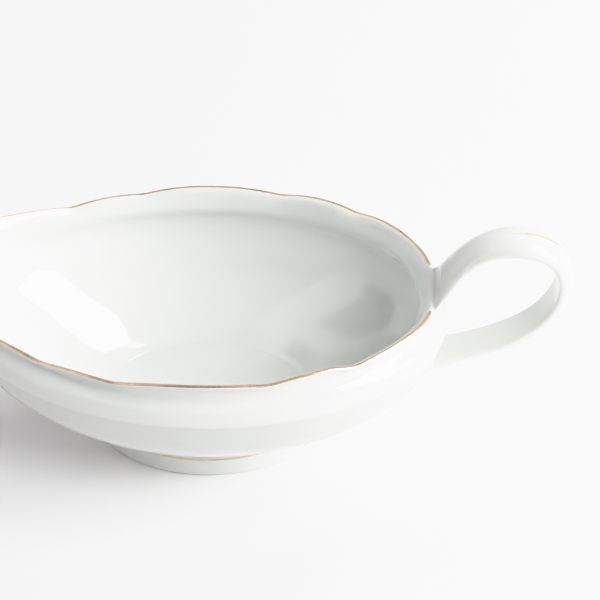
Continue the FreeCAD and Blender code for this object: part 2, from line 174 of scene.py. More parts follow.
# =====================================================================
# Shape of the wall
# =====================================================================
TURNS = 144              # sections to a full turn, from the handle round
# The rim's wave: low at (degrees from the handle), low (mm), high at, high
RIM_LOBES = [
    (49.8, -1.20, 34.7, 0.20), (49.8, -1.20, 58.8, 0.55), (71.6, -1.33, 58.8, 0.55),
    (71.6, -1.33, 90.0, -0.05), (108.8, -2.19, 90.0, -0.05), (108.8, -2.19, 119.5, -1.20),
    (129.1, -2.22, 119.5, -1.20),
]
LIP_START = 129.1        # degrees from the handle where the rim starts to climb
# The climb to the lip: share of the way, height (mm)
LIP_CLIMB = [(0.0, -2.22), (0.08, -0.75), (0.19, 0.46), (0.41, 2.7), (0.60, 5.4),
             (0.78, 8.6), (0.90, 10.3), (1.0, 11.0)]
# Outward swell of the rim: degrees from the handle, hundredths of the radius squared
RIM_SWELL = [(0, 0), (12, 1.1), (20, 2.4), (27, 2.6), (34, 3.0), (39, 3.15), (43.6, 3.2),
             (47, 2.9), (49.8, 2.45), (51.5, 1.8), (53, 0.85), (54.4, 0.17), (56, -0.07),
             (60, 0.0), (180, 0)]


def rim_wave(degrees):
    if degrees < RIM_LOBES[0][2]:
        return -1.0 + 1.2 * ease((degrees - 8.0) / 27.0)
    for low_at, low, high_at, high in RIM_LOBES:
        if degrees < max(low_at, high_at):
            t = min(1.0, max(0.0, (degrees - low_at) / (high_at - low_at)))
            return low + (high - low) * (1.0 - (1.0 - t) ** 2.6)
    return smooth_through(LIP_CLIMB, (degrees - LIP_START) / (180.0 - LIP_START))


def bowl_curve(t, start_out, start_up, end_down):
    """Shares of the way out and up a bowl's side, from its floor to upright."""
    m = 1.0 - t
    return (3 * m * m * t * start_out + 3 * m * t * t + t ** 3,
            3 * m * m * t * start_up + 3 * m * t * t * (1 - end_down) + t ** 3)


def bowl_rows(ts, lip_points, start, end, handle_curve, side_curve):
    """Rows from start towards end, both (x, y, z); lip_points are (x, z)."""
    rows = []
    for t, (lip_x, lip_z) in zip(ts, lip_points):
        out_x, up_x = bowl_curve(t, *handle_curve)
        out_y, up_y = bowl_curve(t, *side_curve)
        rise = end[2] - start[2]
        rows.append(("bowl", start[0] + (end[0] - start[0]) * out_x,
                     start[1] + (end[1] - start[1]) * out_y, lip_x,
                     start[2] + rise * up_x, start[2] + rise * up_y, lip_z, 0, 0, 0))
    return rows


def wall_rows():
    """Rows of the wall, up the outside and down the inside.

    Columns: kind, x at handle, y at sides, x at lip, z at handle, z at sides, z at lip,
    then how strongly the wave, the swell and the shoulder act.
    """
    outside = bowl_rows(
        [0, .12, .26, .40, .54, .68, .82, .95],
        [(BASE_X, BASE_Z), (43.9, 10.5), (51.3, 14.6), (59.4, 20.2), (67.2, 26.6),
         (73.9, 33.4), (79.0, 40.3), (BELLY_LIP_X, BELLY_Z - .1)],
        (BASE_X, BASE_Y, BASE_Z), (BELLY_X, BELLY_Y, BELLY_Z),
        (.128, .244, .591), (.241, .287, .568))
    lip = RIM_X + LIP_REACH
    collar = [
        (BELLY_X + .25, BELLY_Y + .25, 84.5, BELLY_Z + 2.7, BELLY_Z + 2.9, 52.2, 0, 0, 0),
        (BELLY_X - 1.3, BELLY_Y - .9, 86.2, BELLY_Z + 5.5, BELLY_Z + 5.6, 56.0, .05, .05, .2),
        (NECK_X + 2.2, NECK_Y + 1.9, 87.8, NECK_Z - 1.4, NECK_Z - 1.3, 59.2, .10, .15, .6),
        (NECK_X, NECK_Y + .1, 89.5, NECK_Z - .1, NECK_Z + .1, 62.2, .22, .35, .8),
        (NECK_X + .1, NECK_Y - .1, 91.6, NECK_Z + 1.8, NECK_Z + 2.0, 65.4, .5, .6, .6),
        (RIM_X - 1.3, RIM_Y - 1.2, 94.3, RIM_Z - 2.6, RIM_Z - 2.5, 68.8, .85, .9, .2),
        (RIM_X + .1, RIM_Y + .2, lip - .1, RIM_Z - 1.2, RIM_Z - 1.2, 71.2, 1, 1, 0),
        (RIM_X + .9, RIM_Y + .95, lip + 1.1, RIM_Z - .6, RIM_Z - .7, 72.3, 1, 1, 0),
        (RIM_X + .1, RIM_Y + .3, lip + .4, RIM_Z + .1, RIM_Z + .1, 73.15, 1, 1, 0),
        (RIM_X - 1.1, RIM_Y - 1.0, lip - 1.1, RIM_Z - .15, RIM_Z - .15, 72.95, 1, 1, 0),
        (RIM_X - 2.7, RIM_Y - 2.5, lip - 3.3, RIM_Z - 1.8, RIM_Z - 1.8, 71.3, .95, .95, 0),
        (RIDGE_X + 1.3, RIDGE_Y + .6, lip - 5.1, 57.0, 57.1, 69.6, .7, .75, .3),
        (RIDGE_X + .4, RIDGE_Y + .2, lip - 7.3, 55.3, 55.4, 67.2, .42, .55, .7),
        (RIDGE_X, RIDGE_Y, 87.6, RIDGE_Z - .1, RIDGE_Z, 64.6, .22, .35, .9),
        (RIDGE_X + 1.0, RIDGE_Y + .6, 85.2, 52.1, 52.2, 60.8, .10, .15, .7),
        (INSIDE_X - 3.4, INSIDE_Y - 2.2, 82.2, 50.2, 50.3, 55.4, .05, .05, .3),
        (INSIDE_X, INSIDE_Y - .1, 79.0, BELLY_Z - .1, BELLY_Z - .1, 48.6, 0, 0, 0),
    ]
    inside = bowl_rows(
        [.88, .74, .60, .45, .30, .14, 0],
        [(75.0, 41.0), (70.4, 35.4), (64.2, 29.6), (57.0, 24.0), (49.4, 18.9),
         (41.8, 14.9), (WELL_X, WELL_Z)],
        (WELL_X, WELL_Y, WELL_Z), (INSIDE_X, INSIDE_Y, BELLY_Z),
        (.15, .17, .60), (.26, .20, .58))
    return outside + [("collar",) + row for row in collar] + inside


WALL_ROWS = wall_rows()


def wall_section(angle):
    cosine, sine = math.cos(angle), math.sin(angle)
    degrees = abs(math.degrees(math.atan2(sine, cosine)))
    lip_out, lip_up = ease((degrees - 120.0) / 60.0), ease((degrees - 112.0) / 68.0)
    wave = rim_wave(degrees) - LIP_RISE * lip_up
    swell = through(RIM_SWELL, degrees) / 100.0
    shoulder = math.sin(2.0 * angle) ** 2
    poles = []
    for (kind, handle_x, side_y, lip_x, handle_z, side_z, lip_z,
         wave_share, swell_share, shoulder_share) in WALL_ROWS:
        square = cosine * cosine
        if cosine >= 0:
            x, z = handle_x, side_z + (handle_z - side_z) * square
        elif kind == "bowl":
            x, z = handle_x + (lip_x - handle_x) * square, side_z + (lip_z - side_z) * square
        else:
            x, z = handle_x + (lip_x - handle_x) * lip_out, side_z + (lip_z - side_z) * lip_up
        grow = math.sqrt(1.0 + swell * swell_share) * (1.0 + 0.022 * shoulder_share * shoulder)
        poles.append((x * cosine * grow, side_y * sine * grow,
                      z + wave_share * wave + 0.8 * shoulder_share * shoulder))
    return poles


WALL = Surface([wall_section(2 * math.pi * i / TURNS) for i in range(TURNS)])

# =====================================================================
# Shape of the handle, from its upper root over the top to its lower root
# =====================================================================
# x, z, thickness at the crest, half width, thickness at the edge, then the direction of
# the outer face (degrees up from +x, None to take it from the path) and the sag of the
# edges towards -x
STATIONS = [
    (71.3, 55.5, 4.7, 11.8, 2.0, 48, 1.6), (73.4, 56.3, 4.3, 11.5, 2.0, 60, 1.3),
    (75.7, 58.0, 3.8, 10.8, 2.0, 83, 0.8), (77.8, 60.4, 3.5, 9.8, 2.0, 111, 0.3),
    (79.6, 63.3, 3.8, 9.0, 2.0, None, 0.0), (81.7, 66.8, 4.1, 8.2, 2.0, None, 0.0),
    (84.5, 70.6, 4.3, 7.4, 2.0, None, 0.0), (88.2, 74.4, 4.5, 7.0, 2.0, None, 0.0),
    (92.2, 76.9, 4.7, 6.9, 2.0, None, 0.0), (96.2, 78.2, 4.8, 7.2, 2.0, None, 0.0),
    (100.4, 78.6, 4.9, 7.6, 2.0, None, 0.0), (104.5, 78.3, 4.9, 7.6, 2.1, None, 0.0),
    (108.2, 77.1, 4.9, 7.4, 2.2, None, 0.0), (111.4, 74.7, 5.0, 7.3, 2.3, None, 0.0),
    (113.5, 71.4, 5.1, 7.2, 2.4, None, 0.0), (114.6, 67.4, 5.1, 7.1, 2.4, None, 0.0),
    (114.6, 62.8, 5.1, 7.0, 2.3, None, 0.0), (113.4, 58.0, 5.0, 6.8, 2.2, None, 0.0),
    (111.2, 53.4, 4.8, 6.6, 2.1, None, 0.0), (108.0, 49.2, 4.7, 6.5, 2.0, None, 0.0),
    (103.8, 45.5, 4.6, 6.4, 2.0, None, 0.0), (98.6, 42.2, 4.5, 6.4, 2.0, None, 0.0),
    (92.6, 39.3, 4.4, 6.4, 2.0, None, 0.0), (86.6, 36.9, 4.3, 6.5, 2.0, None, 0.0),
    (80.8, 34.8, 4.4, 6.8, 2.0, None, 0.1), (76.2, 33.3, 5.6, 7.2, 2.3, 266, 0.4),
    (71.9, 32.3, 8.0, 7.6, 3.2, 219, 0.8),
]
# Half the cross section from the inner face to the crest: share of the half width, share
# of the edge thickness, share of what the crest has beyond the edge
EDGE_PROFILE = [(0.0, 0.0, 0.0), (.50, 0.0, 0.0), (.84, .01, 0.0), (1.0, .12, 0.0),
                (1.02, .62, 0.0), (.965, 1.04, 0.0), (.80, 1.0, .47), (.42, 1.0, .92),
                (0.0, 1.0, 1.02)]
CREST = float(len(EDGE_PROFILE) - 1)   # u of the crest; the inner face is u = 0


def strap_poles():
    rows = []
    for i, (x, z, crest, half_width, edge, direction, sag) in enumerate(STATIONS):
        if direction is None:
            path_x = STATIONS[i + 1][0] - STATIONS[i - 1][0]
            path_z = STATIONS[i + 1][1] - STATIONS[i - 1][1]
            length = math.hypot(path_x, path_z)
            out_x, out_z = -path_z / length, path_x / length
        else:
            out_x, out_z = math.cos(math.radians(direction)), math.sin(math.radians(direction))
        half = [(share * half_width, edge * edge_share + (crest - edge) * crest_share)
                for share, edge_share, crest_share in EDGE_PROFILE]
        loop = half + [(-y, height) for y, height in half[-2:0:-1]]
        rows.append([(x + out_x * height - sag * (y / half_width) ** 2, y, z + out_z * height)
                     for y, height in loop])
    return np.array(rows).transpose(1, 0, 2)


STRAP = Surface(strap_poles())


# =====================================================================
# Mesh helpers
# =====================================================================
def make(name, verts, faces, mats, node, sharp=(), mat_of=None):
    """Smooth mesh from millimetres; sharp lists edges, mat_of a material for each face."""
    mesh = bpy.data.meshes.new(name)
    mesh.from_pydata([tuple(v) for v in (np.asarray(verts) * MM)], [],
                     [tuple(int(q) for q in f) for f in faces])
    mesh.validate()
    bm = bmesh.new()
    bm.from_mesh(mesh)
    bmesh.ops.recalc_face_normals(bm, faces=bm.faces)
    bm.to_mesh(mesh)
    bm.free()
    for mat in mats:
        mesh.materials.append(mat)
    for poly in mesh.polygons:
        poly.use_smooth = True
    if mat_of is not None:
        for poly, index in zip(mesh.polygons, mat_of):
            poly.material_index = index
    if sharp:
        wanted = set(tuple(sorted(edge)) for edge in sharp)
        for edge in mesh.edges:
            if tuple(sorted(edge.vertices)) in wanted:
                edge.use_edge_sharp = True
    ob = bpy.data.objects.new(name, mesh)
    bpy.context.scene.collection.objects.link(ob)
    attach(ob, "root")
    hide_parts(node)
    return ob


def grid_faces(nu, nv, closed_u=True, closed_v=False):
    faces = []
    for i in range(nu if closed_u else nu - 1):
        for j in range(nv if closed_v else nv - 1):
            a, b = i * nv, (i + 1) % nu * nv
            c, d = j, (j + 1) % nv
            faces.append((a + c, b + c, b + d, a + d))
    return faces


# =====================================================================
# Materials
# =====================================================================
def set_inputs(node, values):
    for key, value in values.items():
        node.inputs[key].default_value = value


def add_node(tree, kind, inputs=None, **settings):
    node = tree.nodes.new(kind)
    for key, value in settings.items():
        setattr(node, key, value)
    set_inputs(node, inputs or {})
    return node


def principled(name):
    mat = bpy.data.materials.new(name)
    mat.use_nodes = True
    return mat, mat.node_tree, mat.node_tree.nodes["Principled BSDF"]


def empty_tree(owner):
    owner.use_nodes = True
    for node in list(owner.node_tree.nodes):
        owner.node_tree.nodes.remove(node)
    return owner.node_tree


def add_noise(tree, coords, scale, detail, roughness):
    noise = add_node(tree, "ShaderNodeTexNoise",
                     {"Scale": scale, "Detail": detail, "Roughness": roughness})
    tree.links.new(coords.outputs["Object"], noise.inputs["Vector"])
    return noise


def add_ramp(tree, noise, low, high, start=0.0, stop=1.0):
    """Ramp from colour low at start to high at stop, driven by a noise."""
    ramp = add_node(tree, "ShaderNodeValToRGB")
    for element, position, colour in zip(ramp.color_ramp.elements, (start, stop), (low, high)):
        element.position = position
        element.color = (*colour, 1)
    tree.links.new(noise.outputs["Fac"], ramp.inputs["Fac"])
    return ramp


def add_range(tree, value, **ends):
    """Map range of a noise; from_min=0.8 sets the input From Min, and so on."""
    node = add_node(tree, "ShaderNodeMapRange",
                    {key.replace("_", " ").title(): end for key, end in ends.items()})
    tree.links.new(value.outputs["Fac"], node.inputs["Value"])
    return node


def add_bump(tree, noise, strength, distance):
    bump = add_node(tree, "ShaderNodeBump", {"Strength": strength, "Distance": distance})
    tree.links.new(noise.outputs["Fac"], bump.inputs["Height"])
    return bump


def porcelain(name, rough):
    mat, tree, shader = principled(name)
    link = tree.links.new
    coords = add_node(tree, "ShaderNodeTexCoord")
    big = add_noise(tree, coords, scale=26.0, detail=3.0, roughness=0.5)
    fine = add_noise(tree, coords, scale=420.0, detail=2.0, roughness=0.55)
    speck = add_noise(tree, coords, scale=1700.0, detail=1.0, roughness=0.4)
    tint = (0.752, 0.768, 0.745)
    ramp = add_ramp(tree, big, (tint[0] * 0.985, tint[1] * 0.985, tint[2] * 0.972), tint,
                    start=0.30, stop=0.72)
    # rare, faint pin specks
    pin = add_range(tree, speck, from_min=0.80, from_max=0.86, to_min=0.0, to_max=0.10)
    specked = add_node(tree, "ShaderNodeMix", {"B": (0.55, 0.50, 0.44, 1)}, data_type="RGBA")
    link(pin.outputs["Result"], specked.inputs["Factor"])
    link(ramp.outputs["Color"], specked.inputs["A"])
    # painted shade: a darker colour below the turned line, where the lower body faces down
    painted_shade = add_node(tree, "ShaderNodeAttribute", attribute_name="painted_shade")
    deep = add_node(tree, "ShaderNodeMix", {"B": (0.85, 0.86, 0.852, 1)},
                    data_type="RGBA", blend_type="MULTIPLY")
    link(painted_shade.outputs["Fac"], deep.inputs["Factor"])
    link(specked.outputs["Result"], deep.inputs["A"])
    link(deep.outputs["Result"], shader.inputs["Base Color"])
    roughness = add_range(tree, fine, to_min=rough * 0.75, to_max=rough * 1.35)
    link(roughness.outputs["Result"], shader.inputs["Roughness"])
    bump = add_bump(tree, fine, strength=0.035, distance=0.00004)
    wave = add_bump(tree, big, strength=0.10, distance=0.00012)
    link(wave.outputs["Normal"], bump.inputs["Normal"])
    link(bump.outputs["Normal"], shader.inputs["Normal"])
    set_inputs(shader, {"IOR": 1.52, "Subsurface Weight": 0.12,
                        "Subsurface Radius": (1.0, 0.9, 0.75), "Subsurface Scale": 0.0012})
    return mat


def gold(name, deep, pale, metallic):
    mat, tree, shader = principled(name)
    link = tree.links.new
    coords = add_node(tree, "ShaderNodeTexCoord")
    patches = add_noise(tree, coords, scale=160.0, detail=3.0, roughness=0.6)
    grain = add_noise(tree, coords, scale=1500.0, detail=2.0, roughness=0.6)
    ramp = add_ramp(tree, patches, deep, pale, start=0.25, stop=0.75)
    link(ramp.outputs["Color"], shader.inputs["Base Color"])
    roughness = add_range(tree, grain, to_min=0.20, to_max=0.42)
    link(roughness.outputs["Result"], shader.inputs["Roughness"])
    bump = add_bump(tree, grain, strength=0.12, distance=0.00003)
    link(bump.outputs["Normal"], shader.inputs["Normal"])
    set_inputs(shader, {"Metallic": metallic})
    return mat


def biscuit(name):
    """Unglazed porcelain."""
    mat, tree, shader = principled(name)
    coords = add_node(tree, "ShaderNodeTexCoord")
    grain = add_noise(tree, coords, scale=300.0, detail=6.0, roughness=0.65)
    ramp = add_ramp(tree, grain, (0.62, 0.59, 0.54), (0.80, 0.78, 0.74))
    tree.links.new(ramp.outputs["Color"], shader.inputs["Base Color"])
    set_inputs(shader, {"Roughness": 0.75})
    bump = add_bump(tree, grain, strength=0.35, distance=0.0001)
    tree.links.new(bump.outputs["Normal"], shader.inputs["Normal"])
    return mat


BODY = porcelain("porcelain_body", rough=0.036)
HANDLE = porcelain("porcelain_handle", rough=0.12)
FOOT = porcelain("porcelain_foot", rough=0.10)
SLIP = porcelain("porcelain_joint", rough=0.10)
GOLD = gold("fired_gold", deep=(0.50, 0.36, 0.23), pale=(0.80, 0.63, 0.46), metallic=0.90)
GOLD_FOOT = gold("fired_gold_foot", deep=(0.46, 0.38, 0.29), pale=(0.72, 0.62, 0.50),
                 metallic=0.80)
# a real gold stroke on the handle, its colour painted paler as a painted reflection of the
# window on the crest
GOLD_PAINTED_SHEEN = gold("fired_gold_painted_sheen", deep=(0.80, 0.64, 0.42), pale=(0.97, 0.88, 0.70),
                 metallic=0.75)
BISCUIT = biscuit("unglazed_foot")

# =====================================================================
# Bowl
# =====================================================================
BOWL_COLUMNS = 480
LINE_V = 6.52            # v of the turned line round the belly
# Spans of v: start, end, number of points with both ends
SECTION_SPANS = [(0, 5.6, 30), (5.6, LINE_V, 26), (LINE_V, 8.4, 10), (8.4, 13.4, 34),
                 (13.4, 16.6, 34), (16.6, 22.5, 46), (22.5, WALL.end, 40)]
TUCK_DEPTH = 0.74        # scale of the tuck below the line
TUCK_REACH = 3.4         # distance below the line where the tuck is deepest
# Rings inside the wall's two edges, as shares of the edge's size
FLOOR_RINGS = [0.9965, 0.993, 0.9895, 0.986, 0.982, 0.978, 0.974, 0.969, 0.960, 0.945, 0.92,
               0.88, 0.83, 0.77, 0.70, 0.62, 0.53, 0.43, 0.32, 0.20, 0.08]
UNDER_RINGS = [0.97, 0.92, 0.86, 0.80, 0.72, 0.62, 0.50, 0.36, 0.20, 0.08]


def wall_mesh_points():
    """Wall points, the index of the turned line, and distances below that line."""
    us = np.arange(BOWL_COLUMNS) * TURNS / BOWL_COLUMNS
    vs = np.concatenate([np.linspace(*span)[:-1] for span in SECTION_SPANS] + [[WALL.end]])
    points = WALL.grid(us, vs)
    line = int(np.argmin(np.abs(vs - LINE_V)))
    # below the line the wall tucks in a little, which leaves a soft edge all round
    normals = WALL.normals(WALL.grid, us, vs[:line + 1])
    lengths = np.linalg.norm(np.diff(points[:, :line + 1], axis=1), axis=2)
    below = np.concatenate([np.cumsum(lengths[:, ::-1], axis=1)[:, ::-1],
                            np.zeros((BOWL_COLUMNS, 1))], axis=1)
    tuck = TUCK_DEPTH * (below / TUCK_REACH) * np.exp(-below / TUCK_REACH)
    points[:, :line + 1] -= normals * tuck[:, :, None]
    return points, line, below


def close_edge(verts, faces, previous, edge, rings, centre_z, flip):
    """Fill an edge of the wall with rings of (share, lift) and a fan to the centre."""
    count = len(edge)

    def add_face(*face):
        faces.append(face[:1] + face[:0:-1] if flip else face)

    for share, lift in rings:
        current = range(len(verts), len(verts) + count)
        verts.extend(edge * (share, share, 1) + (0, 0, lift))
        for i in range(count):
            j = (i + 1) % count
            add_face(previous[i], previous[j], current[j], current[i])
        previous = current
    verts.append(np.array([0, 0, centre_z]))
    for i in range(count):
        add_face(previous[i], previous[(i + 1) % count], len(verts) - 1)


def build_bowl():
    points, line, below = wall_mesh_points()
    rows = points.shape[1]
    wall_faces = grid_faces(BOWL_COLUMNS, rows)
    verts, faces = list(points.reshape(-1, 3)), list(wall_faces)
    starts = [i * rows for i in range(BOWL_COLUMNS)]
    # inside floor: a shallow dish that runs on from the wall
    dish = [(k, -0.34 * ease((1 - k) / 0.028) - 0.20 * (1 - k ** 2)) for k in FLOOR_RINGS]
    close_edge(verts, faces, [s + rows - 1 for s in starts], points[:, -1], dish,
               WELL_Z - 0.52, flip=False)
    # underside, inside the foot: flat with a slight rise to the middle
    under = [(k, 0.25 * (1 - k) ** 2) for k in UNDER_RINGS]
    close_edge(verts, faces, starts, points[:, 0], under, BASE_Z + 0.25, flip=True)
    bowl = make("bowl_body", verts, faces, [BODY], "bowl")

    # painted shade: the body is coloured darker below the turned line and pales again further
    # down
    painted_shade = bowl.data.attributes.new("painted_shade", "FLOAT", "POINT")
    # weight of the painted shade at each wall point
    painted_shade_weight = np.zeros(len(verts))
    for i in range(BOWL_COLUMNS):
        for j in range(line + 1):
            far = below[i, j]
            painted_shade_weight[i * rows + j] = ease(far / 1.3) * (1.0 - 0.75 * ease((far - 13.0) / 13.0))
    painted_shade.data.foreach_set("value", painted_shade_weight.astype(np.float32))
    return BVHTree.FromPolygons([Vector(v) for v in points.reshape(-1, 3)], wall_faces)


wall_tree = build_bowl()
# a point beyond the belly at the handle end tells which way the tree's normals point
tree_sign = 1.0 if wall_tree.find_nearest(Vector((90.0, 0.0, 46.0)))[1].x > 0 else -1.0


def nearest_on_wall(p):
    """Nearest point of the wall and the normal there, out of the porcelain."""
    hit = wall_tree.find_nearest(Vector(p))
    return np.array(hit[0]), np.array(hit[1]) * tree_sign


def outside_wall(p):
    point, normal = nearest_on_wall(p)
    return np.dot(p - point, normal) > 0


# =====================================================================
# Handle
# =====================================================================
def build_handle(around=96, along=330):
    us = np.arange(around) * STRAP.loop / around
    points = STRAP.grid(us, np.linspace(0, STRAP.end, along))
    faces = grid_faces(around, along)
    faces.append(tuple(i * along for i in range(around)))
    faces.append(tuple(i * along + along - 1 for i in range(around))[::-1])
    make("handle_strap", points.reshape(-1, 3), faces, [HANDLE], "handle")


build_handle()

# =====================================================================
# Slip fillets where the handle meets the wall
# =====================================================================
FILLET_CELLS = 160
FILLET_STEPS = 12        # points across a fillet's face; two more close it behind


def make_fillet(name, node, columns):
    """Closed tube from columns (around, across, xyz), its face edged by sharp lines."""
    count, ring = columns.shape[:2]
    sharp = [(i * ring + k, (i + 1) % count * ring + k)
             for i in range(count) for k in (0, FILLET_STEPS - 1)]
    make(name, columns.reshape(-1, 3), grid_faces(count, ring, closed_v=True), [SLIP],
         node, sharp=sharp)


def meeting_v(u, v_in, v_out):
    """The v where the strap's line u comes out of the wall."""
    for _ in range(26):
        middle = 0.5 * (v_in + v_out)
        if outside_wall(STRAP.point(u, middle)):
            v_out = middle
        else:
            v_in = middle
    return 0.5 * (v_in + v_out)


def handle_fillet(name, node, v_in, v_out, strap_reach, wall_reach):
    """Fillet round the strap; v_in is inside the porcelain, v_out clear of it."""
    us = np.arange(FILLET_CELLS) * STRAP.loop / FILLET_CELLS
    meet_vs = np.array([meeting_v(u, v_in, v_out) for u in us])
    for _ in range(2):   # steady the curve
        meet_vs = (np.roll(meet_vs, 1) + 2 * meet_vs + np.roll(meet_vs, -1)) / 4
    meet = np.array([STRAP.point(u, v) for u, v in zip(us, meet_vs)])
    centre = meet.mean(axis=0)
    step = 0.05 if v_out > v_in else -0.05
    columns = []
    for k, (u, v) in enumerate(zip(us, meet_vs)):
        corner = meet[k]
        # edge on the strap, a length along it away from the wall
        on_strap, gone = corner, 0.0
        while gone < strap_reach(u) and 0.0 < v < STRAP.end:
            moved = STRAP.point(u, v + step)
            gone += np.linalg.norm(moved - on_strap)
            on_strap = moved
            v += step
        # edge on the wall, out along it away from the strap
        _, normal = nearest_on_wall(corner)
        tangent = meet[(k + 1) % FILLET_CELLS] - meet[k - 1]
        tangent /= np.linalg.norm(tangent)
        side = np.cross(tangent, normal)
        side /= np.linalg.norm(side)
        if np.dot(side, corner - centre) < 0:
            side = -side
        on_wall = corner
        for _ in range(4):
            on_wall, _ = nearest_on_wall(on_wall + side * wall_reach(u) / 4)
        face = [bezier(on_strap, corner, on_wall, t) for t in np.linspace(0, 1, FILLET_STEPS)]
        columns.append(face + [corner - 0.21 * normal, corner - 0.35 * normal])
    make_fillet(name, node, np.array(columns))


def under_share(u):
    """0 at the strap's crest, rising to 1 at its inner face."""
    return ease(abs(u - CREST) / CREST * 1.15)


# more slip under the upper root than over it
handle_fillet("upper_slip_fillet", "upper_slip_joint", 0.2, 5.0,
              strap_reach=lambda u: 0.9 + 1.7 * under_share(u),
              wall_reach=lambda u: 0.5 + 1.5 * under_share(u))
handle_fillet("lower_slip_fillet", "lower_slip_joint", STRAP.end - 0.2, STRAP.end - 5.0,
              strap_reach=lambda u: 1.9, wall_reach=lambda u: 1.7)

# =====================================================================
# Foot ring and its joint
# =====================================================================
FOOT_COLUMNS = 360
FOOT_ROUND = 0.9         # radius of the foot's lower edges
FOOT_BURIED_Z = 7.95     # top of the ring's faces, hidden in the joint
foot_angles = np.arange(FOOT_COLUMNS) * 2 * math.pi / FOOT_COLUMNS


def oval(inset, z):
    return np.stack([(FOOT_X - inset) * np.cos(foot_angles),
                     (FOOT_Y - inset) * np.sin(foot_angles), np.full(FOOT_COLUMNS, z)], 1)


def foot_inset(z):
    """Inset of the foot's outer face at a height."""
    return FOOT_TOP_INSET * z / FOOT_RING_HEIGHT


def foot_profile():
    """Inset, z and whether unglazed: down the outside, under, and up the inside."""
    profile = [(foot_inset(z), z, False) for z in np.linspace(FOOT_BURIED_Z, FOOT_ROUND, 24)]
    for k in range(1, 9):
        a = k / 8 * math.pi / 2
        profile.append((0.07 + FOOT_ROUND * (1 - math.cos(a)),
                        FOOT_ROUND - FOOT_ROUND * math.sin(a), k >= 6))
    profile += [(1.4, 0.0, True), (1.9, 0.0, True)]
    for k in range(9):
        a = (1 - k / 8) * math.pi / 2
        profile.append((3.22 - FOOT_ROUND * (1 - math.cos(a)),
                        FOOT_ROUND - FOOT_ROUND * math.sin(a), k < 3))
    for z in np.linspace(FOOT_ROUND, FOOT_BURIED_Z, 16)[1:]:
        profile.append((3.2 + 1.2 * z / FOOT_RING_HEIGHT, z, False))
    profile.append((2.5, 7.98, False))
    return profile


def build_foot():
    profile = foot_profile()
    bare = [row[2] for row in profile]
    verts = np.stack([oval(inset, z) for inset, z, _ in profile], 1).reshape(-1, 3)
    strip_mats = [int(a and b) for a, b in zip(bare, bare[1:] + bare[:1])]
    make("foot_ring_body", verts, grid_faces(FOOT_COLUMNS, len(profile), closed_v=True),
         [FOOT, BISCUIT], "foot_ring", mat_of=strip_mats * FOOT_COLUMNS)


def build_foot_joint():
    """Concave slip line between foot and bowl, outside."""
    low_z = 7.35
    low = oval(foot_inset(low_z), low_z)
    corner = oval(FOOT_TOP_INSET * 1.05 - 0.02, 8.02)
    high = WALL.grid(np.arange(FOOT_COLUMNS) * TURNS / FOOT_COLUMNS, [0.62])[:, 0]
    rings = [bezier(low, corner, high, t) for t in np.linspace(0, 1, FILLET_STEPS)]
    rings += [oval(1.6, 8.4), oval(1.6, low_z)]
    make_fillet("foot_slip_line", "foot_slip_joint", np.stack(rings, 1))


build_foot()
build_foot_joint()

# =====================================================================
# Gilding
# =====================================================================
BAND_ACROSS = 9          # points across a gold line
GOLD_LIFT = 0.035        # height of the gold over the glaze
GOLD_SINK = 0.03         # depth of its underside below the glaze
WAVER = 0.06             # wander of a line's edges


def waver(count, scale, seed, closed=True):
    """Smooth hand-painted wobble, about +-1."""
    random = np.random.default_rng(seed)
    x = np.linspace(0, 2 * math.pi, count, endpoint=not closed)
    wobble = np.zeros(count)
    for k in range(1, scale):
        wobble += random.normal() * np.cos(k * x + random.uniform(0, 6.28)) / (k ** 0.35)
    return wobble / (np.abs(wobble).max() + 1e-9)


def make_band(name, node, points, normals, mat, closed=False):
    """Thin domed strip over points (along, across, xyz)."""
    hump = np.sin(np.linspace(0, math.pi, BAND_ACROSS)) ** 0.5
    top = points + normals * (GOLD_LIFT * (0.15 + 0.85 * hump))[:, None]
    bottom = points - normals * GOLD_SINK
    count, ring = len(points), 2 * BAND_ACROSS
    verts = np.concatenate([top, bottom[:, ::-1]], axis=1).reshape(-1, 3)
    faces = grid_faces(count, ring, closed_u=closed, closed_v=True)
    if not closed:
        faces.append(tuple(range(ring))[::-1])
        faces.append(tuple((count - 1) * ring + k for k in range(ring)))
    return make(name, verts, faces, [mat], node)


def gild_rim(count=1500):
    start = 0.0
    while WALL.point(start, 14.9)[1] < GILD_GAP:
        start += 0.02
    low = 14.44 + WAVER * waver(count, 60, 3)
    high = 15.66 + WAVER * waver(count, 60, 4)
    middle = 0.5 * (low + high)
    # both ends narrow over the last eight points
    from_end = np.minimum(np.arange(count), np.arange(count)[::-1]) / 8.0
    width = 0.35 + 0.65 * np.clip(from_end, 0, 1) ** 0.5
    vs = np.linspace(middle + (low - middle) * width, middle + (high - middle) * width,
                     BAND_ACROSS, axis=1).ravel()
    us = np.repeat(np.linspace(start, TURNS - start, count), BAND_ACROSS)
    shape = (count, BAND_ACROSS, 3)
    make_band("rim_gold_line", "rim_gilding", WALL.pairs(us, vs).reshape(shape),
              WALL.normals(WALL.pairs, us, vs).reshape(shape), GOLD)


def gild_foot(count=720):
    z = np.linspace(6.62 + WAVER * waver(count, 40, 5), 7.46 + WAVER * waver(count, 40, 6),
                    BAND_ACROSS, axis=1)
    angles = (np.arange(count) * 2 * math.pi / count)[:, None]
    cosine, sine = np.cos(angles), np.sin(angles)
    inset = foot_inset(z)
    points = np.stack([(FOOT_X - inset) * cosine, (FOOT_Y - inset) * sine, z], -1)
    normals = np.stack([cosine * FOOT_Y, sine * FOOT_X, np.zeros((count, 1))], -1)
    normals /= np.linalg.norm(normals, axis=-1, keepdims=True)
    make_band("foot_gold_line", "foot_gilding", points, normals, GOLD_FOOT, closed=True)


